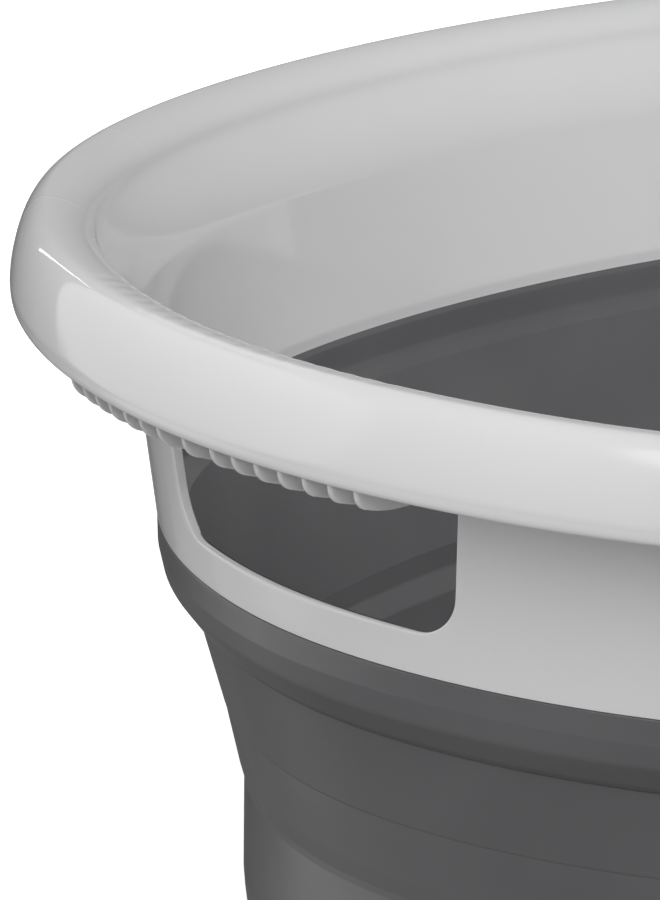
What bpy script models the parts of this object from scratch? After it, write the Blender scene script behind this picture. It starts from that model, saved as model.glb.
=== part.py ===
"""Collapsible foot spa basin: oval rim collar, telescoping soft sleeve and roller base.

Metres, +Z up, +X along the basin's length.  The origin is on the ground, under the middle.
Every ring of the basin is a parallel curve of one oval, so a section is a list of
(inset, height) pairs: how far inside the rim's outline, and how high.
"""
import math

import bmesh
import bpy
import numpy as np
from mathutils import Matrix, Vector

MM = 0.001
GAP = 0.3 * MM                     # clearance between neighbouring solids

# ---- outline of the rim ---------------------------------------------------------------
HALF_LENGTH = 270.0 * MM
HALF_WIDTH = 172.2 * MM            # of the plain ellipse, before the two shape terms
CORNER_FULLNESS = 2.76 * MM        # pushes the four corners out
SIDE_FLATTENING = 0.97 * MM        # draws the long sides in
SEGMENTS = 56                      # facets around each ring
TURN_STEPS = 16                    # facets around a drain part or a foot pad
ROLLER_STEPS = 12                  # and around a roller, an axle or its bore

# ---- heights --------------------------------------------------------------------------
SKIRT_Z = 185.0 * MM               # lower edge of the rim's rolled skirt
ROLL_HEIGHT = 18.46 * MM           # from that edge to the top of the rim
COLLAR_DEPTH = 41.0 * MM           # from that edge down to the foot of the collar wall
FOLD_HEIGHTS = (16.5 * MM, 17.1 * MM, 17.1 * MM)     # upper, middle, lower fold
RING_HEIGHTS = (18.5 * MM, 18.5 * MM, 18.0 * MM)     # upper, middle, lower ring

# ---- rim and collar section -------------------------------------------------------------
SKIN = 2.2 * MM                    # wall of the collar and of the rolled rim
ROLL_CREST = 5.88 * MM             # inset of the rim's highest line
ROLL_CREASE = (16.85 * MM, 11.3 * MM)
SKIRT_LIP = (0.68 * MM, 3.45 * MM)
WALL_TOP = 22.3 * MM               # outer inset of the collar wall at the skirt's height
WALL_FOOT = 30.8 * MM              # and at its foot
CUFF_TOP = 32.0 * MM               # depth at which the soft cuff starts inside the collar

# ---- handles ----------------------------------------------------------------------------
SLOT_HALF_WIDTH = 40.6 * MM
SLOT_TOP = 3.0 * MM                # both measured down from the skirt's edge
SLOT_BOTTOM = 33.2 * MM
SLOT_CORNER = 5.0 * MM
FINS_PER_SIDE = 7                  # beside the middle one
FIN_MIDDLE_GAP = 7.5 * MM
FIN_PITCH = 5.5 * MM
FIN_THICKNESS = 1.1 * MM
FIN_DROP = 5.6 * MM                # how far the grip fins hang below the skirt

# ---- sleeve: outer and inner insets at the hinge lines, from the collar's foot downwards --
SLEEVE_OUTER = (30.8, 39.1, 45.8, 51.2, 52.4, 56.2, 57.0)
SLEEVE_INNER = (36.3, 42.8, 49.6, 54.0, 55.2, 59.0, 59.8)
STAGES = ("upper", "middle", "lower")

# ---- base -------------------------------------------------------------------------------
UNDERSIDE_Z = 4.2 * MM
FLOOR_Z = 7.2 * MM
PAD_RADIUS = 13.0 * MM
PAD_PLACES = ((1, 1), (-1, 1), (-1, -1), (1, -1))
PAD_X = 138.0 * MM
PAD_Y = 64.0 * MM
DRAIN_X = 158.0 * MM
DRAIN_HOLE_RADIUS = 15.0 * MM
DRAIN_BORE_RADIUS = 11.0 * MM
DRAIN_FLANGE_RADIUS = 19.0 * MM
DRAIN_FLANGE_HEIGHT = 1.8 * MM
PLUG_DISC_RADIUS = 14.5 * MM

# ---- massage rollers ----------------------------------------------------------------------
ROLLERS_PER_FRAME = 4
ROLLER_PITCH = 31.0 * MM
ROLLER_RADIUS = 12.0 * MM
ROLLER_CORE_RADIUS = 9.6 * MM
ROLLER_LENGTH = 66.0 * MM
ROLLER_Z = FLOOR_Z + 13.8 * MM
AXLE_RADIUS = 2.2 * MM
FRAME_Y = 46.0 * MM                # middle of each frame, left and right of the centre line
RAIL_WIDTH = 5.6 * MM
RAIL_CLEARANCE = 1.2 * MM          # beside each roller's ends
RAIL_HEIGHT = 19.0 * MM
END_CLEARANCE = 4.0 * MM           # between the outer rollers and the frame's ends


# ------------------------------------------------------------------------------------------
# helpers
# ------------------------------------------------------------------------------------------
def clear_scene():
    for obj in list(bpy.data.objects):
        bpy.data.objects.remove(obj, do_unlink=True)


def make_material(name, colour, roughness, metallic=0.0):
    mat = bpy.data.materials.new(name)
    mat.use_nodes = True
    shader = mat.node_tree.nodes["Principled BSDF"]
    shader.inputs["Base Color"].default_value = (*colour, 1.0)
    shader.inputs["Roughness"].default_value = roughness
    shader.inputs["Metallic"].default_value = metallic
    return mat


def add_object(name, bm, material):
    """Turns a bmesh into an object whose faces all point out."""
    bmesh.ops.remove_doubles(bm, verts=bm.verts, dist=1e-7)
    bmesh.ops.recalc_face_normals(bm, faces=bm.faces)
    mesh = bpy.data.meshes.new(name)
    bm.to_mesh(mesh)
    bm.free()
    mesh.shade_smooth()
    mesh.set_sharp_from_angle(angle=math.radians(35))
    obj = bpy.data.objects.new(name, mesh)
    bpy.context.scene.collection.objects.link(obj)
    if material is not None:
        mesh.materials.append(material)
    return obj


def as_guide(obj):
    obj.hide_render = True
    obj.display_type = "WIRE"
    return obj


def boolean(obj, tool, operation):
    mod = obj.modifiers.new(operation.lower(), "BOOLEAN")
    mod.operation = operation
    mod.solver = "EXACT"
    mod.object = as_guide(tool)


def oval_samples(count):
    """Points and outward normals of the rim's outline, evenly spaced along it.

    The outline is the envelope of lines at distance h(a) from the middle, so a parallel
    curve is the same points moved back along their normals.
    """
    a = np.linspace(0.0, 2.0 * math.pi, 7201)
    c, s = np.cos(a), np.sin(a)
    radius = np.sqrt((HALF_LENGTH * c) ** 2 + (HALF_WIDTH * s) ** 2)
    h = radius + CORNER_FULLNESS * (1.0 - np.cos(4 * a)) - SIDE_FLATTENING * (1.0 - np.cos(6 * a))
    dh = (HALF_WIDTH ** 2 - HALF_LENGTH ** 2) * s * c / radius
    dh = dh + 4 * CORNER_FULLNESS * np.sin(4 * a) - 6 * SIDE_FLATTENING * np.sin(6 * a)
    x = h * c - dh * s
    y = h * s + dh * c
    run = np.concatenate([[0.0], np.cumsum(np.hypot(np.diff(x), np.diff(y)))])
    at = np.linspace(0.0, run[-1], count, endpoint=False)
    angle = np.interp(at, run, a)
    points = np.stack([np.interp(at, run, x), np.interp(at, run, y)], axis=1)
    normals = np.stack([np.cos(angle), np.sin(angle)], axis=1)
    return points, normals, run[-1]


OVAL_POINTS, OVAL_NORMALS, OVAL_LENGTH = oval_samples(SEGMENTS)
FINE_POINTS, FINE_NORMALS, _ = oval_samples(3600)


def ring(bm, inset, z):
    flat = OVAL_POINTS - OVAL_NORMALS * inset
    return [bm.verts.new((x, y, z)) for x, y in flat]


def skin(bm, rings, closed):
    """Joins neighbouring rings with quads; a closed section becomes a tube around the oval."""
    last = len(rings) if closed else len(rings) - 1
    for i in range(last):
        low, high = rings[i], rings[(i + 1) % len(rings)]
        for k in range(SEGMENTS):
            n = (k + 1) % SEGMENTS
            bm.faces.new((low[k], low[n], high[n], high[k]))


def oval_band(name, section, material):
    """A ring-shaped solid from a closed section of (inset, z) pairs."""
    bm = bmesh.new()
    skin(bm, [ring(bm, inset, z) for inset, z in section], closed=True)
    return add_object(name, bm, material)


def arc(centre, radii, start_deg, end_deg, steps):
    """Points on an ellipse in the section plane; 0 degrees is towards a larger inset."""
    angles = np.radians(np.linspace(start_deg, end_deg, steps))
    return [(centre[0] + radii[0] * math.cos(t), centre[1] + radii[1] * math.sin(t)) for t in angles]


def lathe(bm, profile, axis_point, axis, steps):
    """Turns (radius, along) pairs about an axis into a closed solid or a ring."""
    axis = Vector(axis).normalized()
    side = axis.orthogonal().normalized()
    up = axis.cross(side)
    rows = []
    for radius, along in profile:
        row = []
        for k in range(steps):
            t = 2.0 * math.pi * k / steps
            place = Vector(axis_point) + axis * along + (side * math.cos(t) + up * math.sin(t)) * radius
            row.append(bm.verts.new(place))
        rows.append(row)
    return rows


def turned(name, profile, axis_point, axis, material, steps, hollow):
    """A turned piece: `hollow` profiles are closed loops, the others get two end faces."""
    bm = bmesh.new()
    rows = lathe(bm, profile, axis_point, axis, steps)
    pairs = list(zip(rows, rows[1:] + rows[:1])) if hollow else list(zip(rows, rows[1:]))
    for a, b in pairs:
        for k in range(steps):
            n = (k + 1) % steps
            bm.faces.new((a[k], a[n], b[n], b[k]))
    if not hollow:
        bm.faces.new(rows[0])
        bm.faces.new(rows[-1])
    return add_object(name, bm, material)


def move_origin(obj, point):
    """Puts the object's origin on its joint's axis without moving the mesh."""
    obj.data.transform(Matrix.Translation(-Vector(point)))
    obj.location = point


def box(bm, low, high):
    corners = [(x, y, z) for x in (low[0], high[0]) for y in (low[1], high[1]) for z in (low[2], high[2])]
    v = [bm.verts.new(c) for c in corners]
    for face in ((0, 1, 3, 2), (4, 6, 7, 5), (0, 4, 5, 1), (2, 3, 7, 6), (0, 2, 6, 4), (1, 5, 7, 3)):
        bm.faces.new([v[i] for i in face])


# ------------------------------------------------------------------------------------------
# rim collar
# ------------------------------------------------------------------------------------------
def wall_inset(depth):
    """Outer inset of the tapered collar wall at a depth below the skirt's edge."""
    return WALL_TOP + (WALL_FOOT - WALL_TOP) * depth / COLLAR_DEPTH


def roll_section(thickness, arc_points):
    """The rolled rim from its skirt, over the crest, to the inner crease, set in by thickness."""
    t = thickness
    lip_inset, lip_height = SKIRT_LIP
    crease_inset, crease_height = ROLL_CREASE
    crest = SKIRT_Z + ROLL_HEIGHT
    shoulder = (ROLL_CREST, SKIRT_Z + lip_height)
    inner = (ROLL_CREST, SKIRT_Z + crease_height)
    points = [(lip_inset + t, SKIRT_Z), (0.12 * lip_inset + t, SKIRT_Z + 0.4 * lip_height)]
    points += arc(shoulder, (ROLL_CREST - t, crest - shoulder[1] - t), 180, 90, arc_points)
    points += arc(inner, (crease_inset - ROLL_CREST - t, crest - inner[1] - t), 90, 0, arc_points)[1:]
    return points


def collar_section():
    outside = roll_section(0.0, 5)
    inner_wall = [
        (ROLL_CREASE[0] + 1.0 * MM, SKIRT_Z + 10.6 * MM),
        (ROLL_CREASE[0] + 4.2 * MM, SKIRT_Z + 6.2 * MM),
        (WALL_TOP + 2.3 * MM, SKIRT_Z),
        (wall_inset(30.0 * MM) + 2.3 * MM, SKIRT_Z - 30.0 * MM),
        (wall_inset(CUFF_TOP) + 4.2 * MM, SKIRT_Z - CUFF_TOP),
        (wall_inset(CUFF_TOP) + 1.7 * MM, SKIRT_Z - CUFF_TOP),
        (WALL_FOOT + 1.7 * MM, SKIRT_Z - COLLAR_DEPTH),
    ]
    outer_wall = [
        (WALL_FOOT, SKIRT_Z - COLLAR_DEPTH),
        (WALL_TOP, SKIRT_Z),
        (WALL_TOP - 3.0 * MM, SKIRT_Z + 4.6 * MM),
    ]
    underside = roll_section(SKIN, 3)[::-1]
    return outside + inner_wall + outer_wall + underside


def along_end(distance):
    """Outline point and normal at a distance along the rim from the middle of the +X end."""
    index = int(round(distance / OVAL_LENGTH * len(FINE_POINTS))) % len(FINE_POINTS)
    return FINE_POINTS[index], FINE_NORMALS[index]


def fin_section():
    """A grip fin seen from its side: a D under the rim, let into the roll and the wall."""
    shell_middle = roll_section(SKIN / 2, 2)
    roof = [shell_middle[0], shell_middle[3], shell_middle[4]]
    root = [(WALL_TOP - 1.6 * MM, SKIRT_Z + 4.2 * MM), (wall_inset(1.6 * MM) + 1.0 * MM, SKIRT_Z - 1.6 * MM)]
    start = 1.6 * MM
    depth = root[-1][0] - start
    grip = arc((start + depth / 2, SKIRT_Z), (depth / 2, FIN_DROP), -18, -170, 6)
    return roof + root + grip


def grip_fins():
    """All the fins of both handles, as one cutter-free set of thin plates."""
    bm = bmesh.new()
    section = fin_section()
    offsets = [0.0]
    for i in range(FINS_PER_SIDE):
        offsets += [FIN_MIDDLE_GAP + i * FIN_PITCH, -FIN_MIDDLE_GAP - i * FIN_PITCH]
    for end in (0.0, OVAL_LENGTH / 2):
        for offset in offsets:
            point, normal = along_end(end + offset)
            across = Vector((-normal[1], normal[0], 0.0)) * FIN_THICKNESS / 2
            sides = []
            for sign in (-1, 1):
                row = []
                for inset, z in section:
                    place = Vector((*(point - normal * inset), z)) + across * sign
                    row.append(bm.verts.new(place))
                sides.append(row)
            bm.faces.new(sides[0])
            bm.faces.new(sides[1])
            for k in range(len(section)):
                n = (k + 1) % len(section)
                bm.faces.new((sides[0][k], sides[0][n], sides[1][n], sides[1][k]))
    return add_object("guide_fins", bm, None)


def slot_cutter():
    """One long bar with rounded corners that opens both handle slots."""
    half, radius = SLOT_HALF_WIDTH, SLOT_CORNER
    low, high = SKIRT_Z - SLOT_BOTTOM, SKIRT_Z - SLOT_TOP
    outline = []
    corners = ((half - radius, low + radius, -90), (half - radius, high - radius, 0),
               (radius - half, high - radius, 90), (radius - half, low + radius, 180))
    for cy, cz, start in corners:
        for step in range(5):
            t = math.radians(start + 22.5 * step)
            outline.append((cy + radius * math.cos(t), cz + radius * math.sin(t)))
    bm = bmesh.new()
    ends = []
    for x in (-HALF_LENGTH - 20 * MM, HALF_LENGTH + 20 * MM):
        ends.append([bm.verts.new((x, y, z)) for y, z in outline])
        bm.faces.new(ends[-1])
    for k in range(len(outline)):
        n = (k + 1) % len(outline)
        bm.faces.new((ends[0][k], ends[0][n], ends[1][n], ends[1][k]))
    return add_object("guide_slots", bm, None)


def make_collar(white):
    collar = oval_band("upper_collar", collar_section(), white)
    boolean(collar, slot_cutter(), "DIFFERENCE")
    boolean(collar, grip_fins(), "UNION")


# ------------------------------------------------------------------------------------------
# soft sleeve
# ------------------------------------------------------------------------------------------
def hinge_heights():
    """Heights of the sleeve's hinge lines, from the collar's foot down to the base."""
    heights = [SKIRT_Z - COLLAR_DEPTH]
    for fold, band in zip(FOLD_HEIGHTS, RING_HEIGHTS):
        heights.append(heights[-1] - fold)
        heights.append(heights[-1] - band)
    return heights


def band_between(name, index, bulge, material):
    """The sleeve's band below hinge line `index`; a bulge rounds a fold's outer side."""
    heights = hinge_heights()
    top, low = heights[index] - GAP / 2, heights[index + 1] + GAP / 2
    outer_top, outer_low = SLEEVE_OUTER[index] * MM, SLEEVE_OUTER[index + 1] * MM
    inner_top, inner_low = SLEEVE_INNER[index] * MM, SLEEVE_INNER[index + 1] * MM
    middle = ((outer_top + outer_low) / 2 - bulge, (top + low) / 2)
    section = [(outer_top, top), middle, (outer_low, low), (inner_low, low), (inner_top, top)]
    if bulge == 0.0:
        section.remove(middle)
    return oval_band(name, section, material)


def make_sleeve(grey):
    cuff = [
        (wall_inset(CUFF_TOP) + 2.05 * MM, SKIRT_Z - CUFF_TOP - GAP),
        (wall_inset(CUFF_TOP) + 4.2 * MM, SKIRT_Z - CUFF_TOP - GAP),
        (SLEEVE_INNER[0] * MM, SKIRT_Z - COLLAR_DEPTH + GAP / 2),
        (WALL_FOOT + 2.05 * MM, SKIRT_Z - COLLAR_DEPTH + GAP / 2),
    ]
    oval_band("sleeve_cuff", cuff, grey)
    for i, stage in enumerate(STAGES):
        band_between(f"sleeve_fold_{stage}", 2 * i, 1.4 * MM, grey)
        band_between(f"sleeve_ring_{stage}", 2 * i + 1, 0.0, grey)


# ------------------------------------------------------------------------------------------
# base, feet and drain
# ------------------------------------------------------------------------------------------
def make_base(white):
    top = hinge_heights()[-1] - GAP / 2
    outer, inner = SLEEVE_OUTER[-1] * MM, SLEEVE_INNER[-1] * MM
    section = [
        (inner + 8.0 * MM, FLOOR_Z),
        (inner + 3.4 * MM, FLOOR_Z + 1.6 * MM),
        (inner + 1.2 * MM, FLOOR_Z + 6.0 * MM),
        (inner + 0.4 * MM, FLOOR_Z + 14.0 * MM),
        (inner, top),
        (outer, top),
        (outer + 0.6 * MM, UNDERSIDE_Z + 15.0 * MM),
        (outer + 2.0 * MM, UNDERSIDE_Z + 6.0 * MM),
        (outer + 4.6 * MM, UNDERSIDE_Z + 1.6 * MM),
        (outer + 9.0 * MM, UNDERSIDE_Z),
    ]
    bm = bmesh.new()
    rings = [ring(bm, inset, z) for inset, z in section]
    skin(bm, rings, closed=False)
    bm.faces.new(rings[0])
    bm.faces.new(rings[-1])
    base = add_object("base_tray", bm, white)
    reach = 5.0 * MM
    hole = turned("guide_drain_hole", [(DRAIN_HOLE_RADIUS, -reach), (DRAIN_HOLE_RADIUS, FLOOR_Z + reach)],
                  (DRAIN_X, 0, 0), (0, 0, 1), None, TURN_STEPS, hollow=False)
    boolean(base, hole, "DIFFERENCE")


def make_feet(rubber):
    for number, (sx, sy) in enumerate(PAD_PLACES, start=1):
        profile = [(PAD_RADIUS - 1.0 * MM, 0.0), (PAD_RADIUS, 1.0 * MM), (PAD_RADIUS, UNDERSIDE_Z - GAP)]
        turned(f"foot_pad_{number}", profile, (sx * PAD_X, sy * PAD_Y, 0), (0, 0, 1), rubber, TURN_STEPS, hollow=False)


def make_drain(grey):
    flange_low = FLOOR_Z + GAP
    flange_top = flange_low + DRAIN_FLANGE_HEIGHT
    neck = DRAIN_HOLE_RADIUS - 0.4 * MM
    seat = [
        (DRAIN_BORE_RADIUS, UNDERSIDE_Z),
        (neck, UNDERSIDE_Z),
        (neck, flange_low),
        (DRAIN_FLANGE_RADIUS, flange_low),
        (DRAIN_FLANGE_RADIUS - 0.8 * MM, flange_top),
        (DRAIN_BORE_RADIUS, flange_top),
    ]
    turned("drain_seat", seat, (DRAIN_X, 0, 0), (0, 0, 1), grey, TURN_STEPS, hollow=True)
    disc_low = flange_top + GAP
    plug = [
        (DRAIN_BORE_RADIUS - 1.6 * MM, UNDERSIDE_Z + 0.6 * MM),
        (DRAIN_BORE_RADIUS - 0.5 * MM, disc_low),
        (PLUG_DISC_RADIUS, disc_low),
        (PLUG_DISC_RADIUS, disc_low + 1.6 * MM),
        (PLUG_DISC_RADIUS - 1.2 * MM, disc_low + 2.6 * MM),
        (3.4 * MM, disc_low + 3.0 * MM),
        (3.0 * MM, disc_low + 7.0 * MM),
        (6.0 * MM, disc_low + 9.0 * MM),
        (5.4 * MM, disc_low + 11.4 * MM),
        (2.0 * MM, disc_low + 12.4 * MM),
    ]
    obj = turned("drain_plug", plug, (DRAIN_X, 0, 0), (0, 0, 1), grey, TURN_STEPS, hollow=False)
    move_origin(obj, (DRAIN_X, 0, 0))


# ------------------------------------------------------------------------------------------
# massage rollers
# ------------------------------------------------------------------------------------------
def roller_places():
    """X positions of the rollers in each frame."""
    first = -(ROLLERS_PER_FRAME - 1) / 2 * ROLLER_PITCH
    return [first + i * ROLLER_PITCH for i in range(ROLLERS_PER_FRAME)]


def make_frame(name, centre_y, white):
    half_window_y = ROLLER_LENGTH / 2 + RAIL_CLEARANCE
    half_window_x = roller_places()[-1] + ROLLER_RADIUS + END_CLEARANCE
    half_y, half_x = half_window_y + RAIL_WIDTH, half_window_x + RAIL_WIDTH
    low, high = FLOOR_Z + GAP, FLOOR_Z + GAP + RAIL_HEIGHT
    bm = bmesh.new()
    box(bm, (-half_x, centre_y - half_y, low), (half_x, centre_y + half_y, high))
    frame = add_object(name, bm, white)
    bm = bmesh.new()
    box(bm, (-half_window_x, centre_y - half_window_y, low - 5 * MM),
        (half_window_x, centre_y + half_window_y, high + 5 * MM))
    for sign in (-1, 1):
        step = (sign * (half_x + 1 * MM), sign * (half_x - 3.0 * MM))
        box(bm, (min(step), centre_y - half_y - 2 * MM, high - 7.0 * MM),
            (max(step), centre_y + half_y + 2 * MM, high + 5 * MM))
    boolean(frame, add_object("guide_window_" + name, bm, None), "DIFFERENCE")
    bm = bmesh.new()
    for x in roller_places():
        rows = lathe(bm, [(AXLE_RADIUS + GAP, -half_y - 2 * MM), (AXLE_RADIUS + GAP, half_y + 2 * MM)],
                     (x, centre_y, ROLLER_Z), (0, 1, 0), ROLLER_STEPS)
        for k in range(ROLLER_STEPS):
            n = (k + 1) % ROLLER_STEPS
            bm.faces.new((rows[0][k], rows[0][n], rows[1][n], rows[1][k]))
        bm.faces.new(rows[0])
        bm.faces.new(rows[1])
    boolean(frame, add_object("guide_bores_" + name, bm, None), "DIFFERENCE")
    return half_y


def roller_profile():
    """Closed profile of a massage roller: a bored core with rounded ridges."""
    ridges = 4
    half = ROLLER_LENGTH / 2
    bore = AXLE_RADIUS + GAP
    outside = [(ROLLER_CORE_RADIUS - 1.0 * MM, -half), (ROLLER_CORE_RADIUS, -half + 1.4 * MM)]
    pitch = (ROLLER_LENGTH - 6.0 * MM) / ridges
    for i in range(ridges):
        centre = -half + 3.0 * MM + (i + 0.5) * pitch
        outside.append((ROLLER_CORE_RADIUS, centre - 0.42 * pitch))
        outside.append((ROLLER_RADIUS, centre))
        outside.append((ROLLER_CORE_RADIUS, centre + 0.42 * pitch))
    outside += [(ROLLER_CORE_RADIUS, half - 1.4 * MM), (ROLLER_CORE_RADIUS - 1.0 * MM, half)]
    return outside + [(bore, half), (bore, -half)]


def make_rollers(white, grey, steel):
    for side, sign in (("left", 1), ("right", -1)):
        centre_y = sign * FRAME_Y
        half_y = make_frame(f"roller_frame_{side}", centre_y, white)
        for number, x in enumerate(roller_places(), start=1):
            place = (x, centre_y, ROLLER_Z)
            roller = turned(f"roller_{side}_{number}", roller_profile(), place, (0, 1, 0), grey,
                            ROLLER_STEPS, hollow=True)
            move_origin(roller, place)
            half = half_y - 0.6 * MM
            turned(f"axle_{side}_{number}", [(AXLE_RADIUS, -half), (AXLE_RADIUS, half)],
                   place, (0, 1, 0), steel, ROLLER_STEPS, hollow=False)


def main():
    clear_scene()
    white = make_material("gloss_white_polypropylene", (0.82, 0.82, 0.83), 0.28)
    grey = make_material("grey_soft_elastomer", (0.125, 0.125, 0.13), 0.45)
    roller_grey = make_material("grey_roller_plastic", (0.23, 0.23, 0.24), 0.4)
    rubber = make_material("dark_pad_rubber", (0.06, 0.06, 0.065), 0.7)
    steel = make_material("stainless_pin", (0.62, 0.62, 0.63), 0.3, 1.0)
    make_collar(white)
    make_sleeve(grey)
    make_base(white)
    make_feet(rubber)
    make_drain(grey)
    make_rollers(white, roller_grey, steel)


main()
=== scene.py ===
"""Looks of the foot spa basin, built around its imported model.

Metres, +Z up, +X along the basin.  Every ring of the basin is a parallel curve of one oval:
a section is a list of (inset, height) pairs in millimetres, inset from the rim's outline and
height from the lower edge of the rim's rolled skirt.  Sizes without MM are in millimetres.
"""

import math

import bmesh
import bpy
import numpy as np
from mathutils import Matrix, Vector


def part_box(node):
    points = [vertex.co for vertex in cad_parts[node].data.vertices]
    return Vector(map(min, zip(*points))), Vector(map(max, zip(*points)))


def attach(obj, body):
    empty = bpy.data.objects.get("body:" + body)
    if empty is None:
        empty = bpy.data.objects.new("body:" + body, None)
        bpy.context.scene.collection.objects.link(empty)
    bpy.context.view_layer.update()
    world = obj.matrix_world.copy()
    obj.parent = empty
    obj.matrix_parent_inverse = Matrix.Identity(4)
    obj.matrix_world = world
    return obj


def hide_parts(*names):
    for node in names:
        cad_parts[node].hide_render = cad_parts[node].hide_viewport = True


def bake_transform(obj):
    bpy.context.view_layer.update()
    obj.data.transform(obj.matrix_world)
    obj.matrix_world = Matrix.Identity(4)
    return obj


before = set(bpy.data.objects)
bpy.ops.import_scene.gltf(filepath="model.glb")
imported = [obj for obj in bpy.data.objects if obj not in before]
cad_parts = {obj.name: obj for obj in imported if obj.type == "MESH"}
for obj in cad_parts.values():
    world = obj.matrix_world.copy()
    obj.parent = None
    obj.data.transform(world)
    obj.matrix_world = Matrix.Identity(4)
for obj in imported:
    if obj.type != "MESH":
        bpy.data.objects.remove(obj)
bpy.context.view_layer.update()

MM = 0.001

# ---- outline and rim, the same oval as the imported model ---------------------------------
HALF_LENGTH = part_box("upper_collar")[1].x
HALF_WIDTH = 172.2 * MM
CORNER_FULLNESS = 2.76 * MM
SIDE_FLATTENING = 0.97 * MM
ROLL_HEIGHT = 18.46
SKIRT_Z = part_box("upper_collar")[1].z - ROLL_HEIGHT * MM
SKIN = 2.2
ROLL_CREST = 5.88
ROLL_INNER = (15.55, 12.55)        # where the roll meets the rounded edge above the wall
SKIRT_LIP = 3.45
WALL_TOP = 22.3                    # the wall's outer inset at the skirt's edge and at its foot
WALL_FOOT = 30.8
COLLAR_DEPTH = 41.0
CUFF_TOP = 32.0                    # depth where the wall gets thinner for the soft cuff
WALL_SKIN = 2.1
CUFF_SEAT = 1.7

# ---- handle slots and grip fins ---------------------------------------------------------
SLOT_HALF = 40.5
SLOT_TOP = -4.5
SLOT_BOTTOM = -32.7
SLOT_CORNER = 8.5                  # of the two lower corners
SLOT_TOP_CORNER = 2.0
SLOT_NARROWING = 0.0029            # share of the width lost per millimetre downwards
SLOT_EDGE = 0.55                   # radius of the rounded edge
FIN_MIDDLE_GAP = 7.5
FIN_PITCH = 5.5
FINS_PER_SIDE = 7
FIN_PLACES = [0.0] + [side * (FIN_MIDDLE_GAP + FIN_PITCH * number)
                      for number in range(FINS_PER_SIDE) for side in (1, -1)]
FIN_THICKNESS = 1.1
SINK_DEPTH = 0.11                  # sink marks in the roll's top, above the fins
SINK_WIDTH = 1.35
PARTING_LINES = (-159.0, -100.0)   # along the rim from the middle of the -X end
PARTING_RISE = 0.035
PARTING_WIDTH = 0.22

# ---- columns around the collar ----------------------------------------------------------
HANDLE_REACH = 62.0                # the columns are close together this far from a slot's middle
HANDLE_STEP = 1.1
SIDE_STEP = 3.6
PARTING_STEPS = (-0.5, -0.25, 0, 0.25, 0.5)
PARTING_CLEARANCE = 0.35

# ---- sleeve: hinge lines from the collar down, with the soft wall's outer and inner inset ---
HINGES = (-41.0, -57.5, -76.0, -93.1, -111.6, -128.7)
HINGE_INSETS = ((32.6, 36.3), (39.1, 42.7), (46.0, 49.8), (51.2, 54.1), (52.4, 55.2), (56.2, 59.0))
SLEEVE_COLUMNS = 300
FOLD_STEP = 1.1
RING_STEP = 2.2

# ---- camera and studio ------------------------------------------------------------------
CAMERA_PLACE = (-1.0688154, -0.9205286, 0.5450704)
CAMERA_YAW = 0.73737614
CAMERA_PITCH = -0.28723030
CAMERA_ROLL = 0.07781478
CAMERA_LENS = 287.46
UP = (90.0, 90.0)                  # an aim is (azimuth from +X, elevation) in degrees
DOWN = (90.0, -90.0)
OPEN_AIM = (183.0, 0.0)            # middle of the open half around the -X end
OPEN_FADE = (-0.01, 0.01)          # a fade is the cosines from the aim where light starts and is full
FRONT_AIM = (325.0, 0.0)           # middle of the half that also has the even light
FRONT_FADE = (-0.05, 0.05)
SIDE_AIM = (130.0, 8.0)            # bright patch, cut off sharply where the open half ends
SIDE_FADE = (0.72, 0.80)
SIDE_LIGHT = 0.85
KEY_AIM = (238.0, 38.0)            # the big soft box
KEY_FADE = (0.87, 0.95)
KEY_LIGHT = 3.7
AROUND_LIGHT = 0.17
DARK_LIGHT = 0.08
OVER_FADE = (0.555, 0.575)
OVER_HOLE = (-0.95, -0.75)         # cosines from straight down: no overhead light near the zenith
OVER_LIGHT = 0.9
STRIP_PLANE = (-11.5, 28.0)        # the thin lamp lies square to this direction
STRIP_HALF = 0.012
STRIP_AIM = (87.0, 10.0)
STRIP_FADE = (0.978, 0.984)
STRIP_LIGHT = 9.0
TABLE_FADE = (0.375, 0.39)
TABLE_LIGHT = 0.1
FLOOR_GLOW = 0.7
FLOOR_SIZE = 30.0                  # metres
FLOOR_DROP = 0.2 * MM              # keeps the floor just below the undersides of the pads


# ------------------------------------------------------------------------------------------
# outline
# ------------------------------------------------------------------------------------------
def outline(angle):
    """Points and outward normals of the rim's outline at normal angles, in metres."""
    c, s = np.cos(angle), np.sin(angle)
    radius = np.sqrt((HALF_LENGTH * c) ** 2 + (HALF_WIDTH * s) ** 2)
    h = radius + CORNER_FULLNESS * (1 - np.cos(4 * angle)) - SIDE_FLATTENING * (1 - np.cos(6 * angle))
    dh = (HALF_WIDTH ** 2 - HALF_LENGTH ** 2) * s * c / radius
    dh = dh + 4 * CORNER_FULLNESS * np.sin(4 * angle) - 6 * SIDE_FLATTENING * np.sin(6 * angle)
    return np.stack([h * c - dh * s, h * s + dh * c], axis=-1), np.stack([c, s], axis=-1)


FINE_ANGLES = np.linspace(0.0, 2 * math.pi, 14401)
FINE_POINTS, FINE_NORMALS = outline(FINE_ANGLES)
FINE_RUN = np.concatenate([[0.0], np.cumsum(np.hypot(*np.diff(FINE_POINTS, axis=0).T))])
PERIMETER = FINE_RUN[-1]
HANDLES = ((0.0, 0.0), (PERIMETER / 2, math.pi))     # run and normal angle in the middle of each end


def angle_at(run):
    """Normal angle at a distance along the outline from the middle of the +X end."""
    return np.interp(np.mod(run, PERIMETER), FINE_RUN, FINE_ANGLES)


def run_at(angle):
    """Distance along the outline from the middle of the +X end, at normal angles."""
    return np.interp(angle, FINE_ANGLES, FINE_RUN)


def even_angles(count):
    """Normal angles of columns at even distances around the outline."""
    return angle_at(np.arange(count) * PERIMETER / count)


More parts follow.
